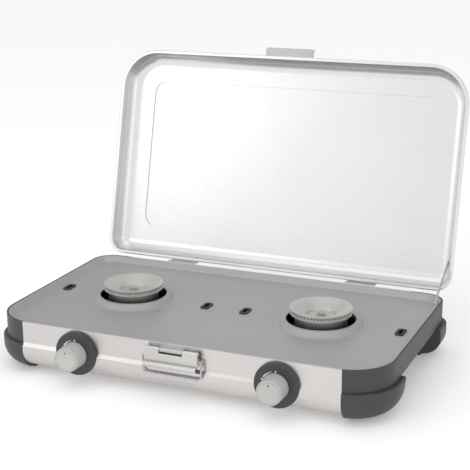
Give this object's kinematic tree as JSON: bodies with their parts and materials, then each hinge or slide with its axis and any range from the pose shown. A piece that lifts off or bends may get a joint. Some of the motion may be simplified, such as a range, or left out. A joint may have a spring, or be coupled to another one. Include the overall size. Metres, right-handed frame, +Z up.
{
  "type": "camp stove",
  "caption": "Folding camp stove: steel tray with plastic end caps, gas burners under a hinged lid that props open, control knobs and a wire toggle latch.",
  "frame": {"origin": "on the floor under the middle of the stove's box as it stands with the lid open", "axes": "+X along the width, to the right seen from the front; +Y to the rear, where the hinges are; +Z up"},
  "size_m": [0.532, 0.4398, 0.374],
  "materials": {
    "brushed_steel": "satin brushed stainless sheet",
    "hob_enamel": "fine matt silver-grey coating",
    "cap_plastic": "moulded, fine texture",
    "foot_rubber": "matt",
    "socket_plastic": "moulded",
    "burner_alloy": "satin die casting",
    "burner_steel": "pressed sheet",
    "brass": "machined",
    "gas_pipe": "drawn tube",
    "zinc_steel": "bright plated",
    "latch_steel": "satin pressed steel",
    "lid_steel": "satin stainless sheet",
    "knob_plastic": "semi-gloss moulded"
  },
  "bodies": {
    "base": {"body_shell": "brushed_steel", "hob_plate": "hob_enamel", "end_cap_left": "cap_plastic", "end_cap_right": "cap_plastic", "bezel_left": "cap_plastic", "bezel_right": "cap_plastic", "foot_front_left": "foot_rubber", "foot_front_right": "foot_rubber", "foot_rear_left": "foot_rubber", "foot_rear_right": "foot_rubber", "socket_outer_left": "socket_plastic", "socket_inner_left": "socket_plastic", "socket_inner_right": "socket_plastic", "socket_outer_right": "socket_plastic", "burner_crown_left": "burner_alloy", "burner_crown_right": "burner_alloy", "burner_dish_left": "burner_alloy", "burner_dish_right": "burner_alloy", "burner_cup_left": "burner_steel", "burner_cup_right": "burner_steel", "burner_screw_left": "burner_steel", "burner_screw_right": "burner_steel", "burner_bracket_left": "burner_steel", "burner_bracket_right": "burner_steel", "valve_left": "brass", "valve_right": "brass", "jet_left": "brass", "jet_right": "brass", "gas_inlet": "brass", "gas_pipe": "gas_pipe", "hinge_base_leaf_left": "zinc_steel", "hinge_base_leaf_right": "zinc_steel", "hinge_pin_left": "zinc_steel", "hinge_pin_right": "zinc_steel", "base_rivets": "zinc_steel", "stay_lug": "zinc_steel", "latch_bracket": "zinc_steel", "latch_pin": "zinc_steel", "latch_rivets": "zinc_steel"},
    "lid": {"lid_shell": "lid_steel", "lid_catch": "knob_plastic", "hinge_lid_leaf_left": "zinc_steel", "hinge_lid_leaf_right": "zinc_steel", "lid_rivets": "zinc_steel", "stay_bracket": "zinc_steel"},
    "stay": {"stay_rod": "zinc_steel"},
    "knob_left": {"knob_left": "knob_plastic", "spindle_left": "zinc_steel"},
    "knob_right": {"knob_right": "knob_plastic", "spindle_right": "zinc_steel"},
    "latch_lever": {"latch_lever": "latch_steel"},
    "latch_bail": {"latch_bail": "zinc_steel"}
  },
  "joints": [
    {"name": "lid_hinge", "type": "hinge", "parent": "base", "child": "lid", "pos_m": [0, 0.116, 0.065], "axis": [1, 0, 0], "range_deg": [0, 104]},
    {"name": "stay_pivot", "type": "hinge", "parent": "base", "child": "stay", "pos_m": [0.2524, 0.069, 0.0715], "axis": [1, 0, 0], "range_deg": [0, 150]},
    {"name": "knob_left_turn", "type": "hinge", "parent": "base", "child": "knob_left", "pos_m": [-0.133, -0.207, 0.04], "axis": [0, -1, 0], "range_deg": [0, 120]},
    {"name": "knob_right_turn", "type": "hinge", "parent": "base", "child": "knob_right", "pos_m": [0.133, -0.207, 0.04], "axis": [0, -1, 0], "range_deg": [0, 120]},
    {"name": "latch_lever_turn", "type": "hinge", "parent": "base", "child": "latch_lever", "pos_m": [0, -0.1965, 0.064], "axis": [-1, 0, 0], "range_deg": [0, 105]},
    {"name": "latch_bail_swing", "type": "hinge", "parent": "latch_lever", "child": "latch_bail", "pos_m": [0, -0.1965, 0.055], "axis": [1, 0, 0], "range_deg": [-180, 0]}
  ],
  "couplings": [
    {"joint": "stay_pivot", "follows": "lid_hinge", "ratio": 1.44}
  ]
}
